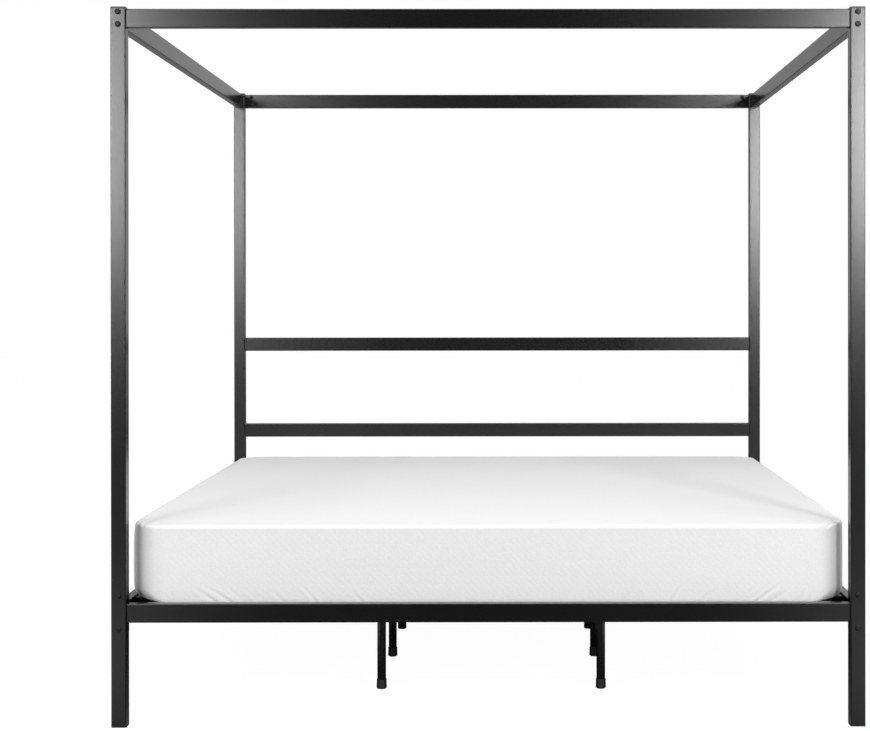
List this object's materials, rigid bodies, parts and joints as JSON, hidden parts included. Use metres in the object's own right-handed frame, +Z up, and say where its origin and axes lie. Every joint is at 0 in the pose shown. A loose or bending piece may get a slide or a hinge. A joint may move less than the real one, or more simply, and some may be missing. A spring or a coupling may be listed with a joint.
{
  "type": "four poster canopy bed",
  "caption": "Metal four poster canopy bed with slatted deck, two-rail headboard, centre support legs and a mattress in a fitted sheet",
  "frame": {"origin": "on the floor under the middle of the bed's outline", "axes": "+Y from the foot end to the head end, +X to the right as seen from the foot end, +Z up"},
  "size_m": [1.995, 2.112, 1.905],
  "materials": {
    "frame_steel": "black powder coat, satin",
    "slat_steel": "black powder coat, satin",
    "cap_plastic": "moulded black plastic",
    "foot_plastic": "moulded black plastic",
    "black_fasteners": "black oxide",
    "zinc_fasteners": "zinc plated",
    "mattress_cover": "knitted mattress cover",
    "sheet_cloth": "white cotton jersey"
  },
  "bodies": {
    "frame": {"canopy_rail_end_plugs": "frame_steel", "canopy_rail_foot": "frame_steel", "canopy_rail_head": "frame_steel", "canopy_rail_left": "frame_steel", "canopy_rail_right": "frame_steel", "centre_rail_brackets": "frame_steel", "centre_rail_left": "frame_steel", "centre_rail_right": "frame_steel", "foot_rail": "frame_steel", "head_rail": "frame_steel", "headboard_rail_lower": "frame_steel", "headboard_rail_upper": "frame_steel", "large_nuts": "zinc_fasteners", "leg_feet": "foot_plastic", "leg_left_1": "frame_steel", "leg_left_2": "frame_steel", "leg_left_3": "frame_steel", "leg_left_4": "frame_steel", "leg_right_1": "frame_steel", "leg_right_2": "frame_steel", "leg_right_3": "frame_steel", "leg_right_4": "frame_steel", "leg_studs": "zinc_fasteners", "post_bolts": "black_fasteners", "post_cap_foot_left": "cap_plastic", "post_cap_foot_right": "cap_plastic", "post_cap_head_left": "cap_plastic", "post_cap_head_right": "cap_plastic", "post_foot_left": "frame_steel", "post_foot_right": "frame_steel", "post_glide_foot_left": "foot_plastic", "post_glide_foot_right": "foot_plastic", "post_glide_head_left": "foot_plastic", "post_glide_head_right": "foot_plastic", "post_head_left": "frame_steel", "post_head_right": "frame_steel", "post_washers": "black_fasteners", "rail_bolts": "black_fasteners", "rail_tongues": "frame_steel", "side_rail_end_plates": "frame_steel", "side_rail_left": "frame_steel", "side_rail_right": "frame_steel", "slat_01": "slat_steel", "slat_02": "slat_steel", "slat_03": "slat_steel", "slat_04": "slat_steel", "slat_05": "slat_steel", "slat_06": "slat_steel", "slat_07": "slat_steel", "slat_08": "slat_steel", "slat_09": "slat_steel", "slat_10": "slat_steel", "slat_11": "slat_steel", "slat_12": "slat_steel", "slat_ledge_left": "frame_steel", "slat_ledge_right": "frame_steel", "small_bolts": "black_fasteners", "small_nuts": "zinc_fasteners"},
    "mattress": {"mattress": "mattress_cover", "fitted_sheet": "sheet_cloth"}
  },
  "joints": [
    {"name": "mattress_lift", "type": "slide", "parent": "frame", "child": "mattress", "axis": [0, 0, 1], "range_m": [0, 0.35]}
  ]
}
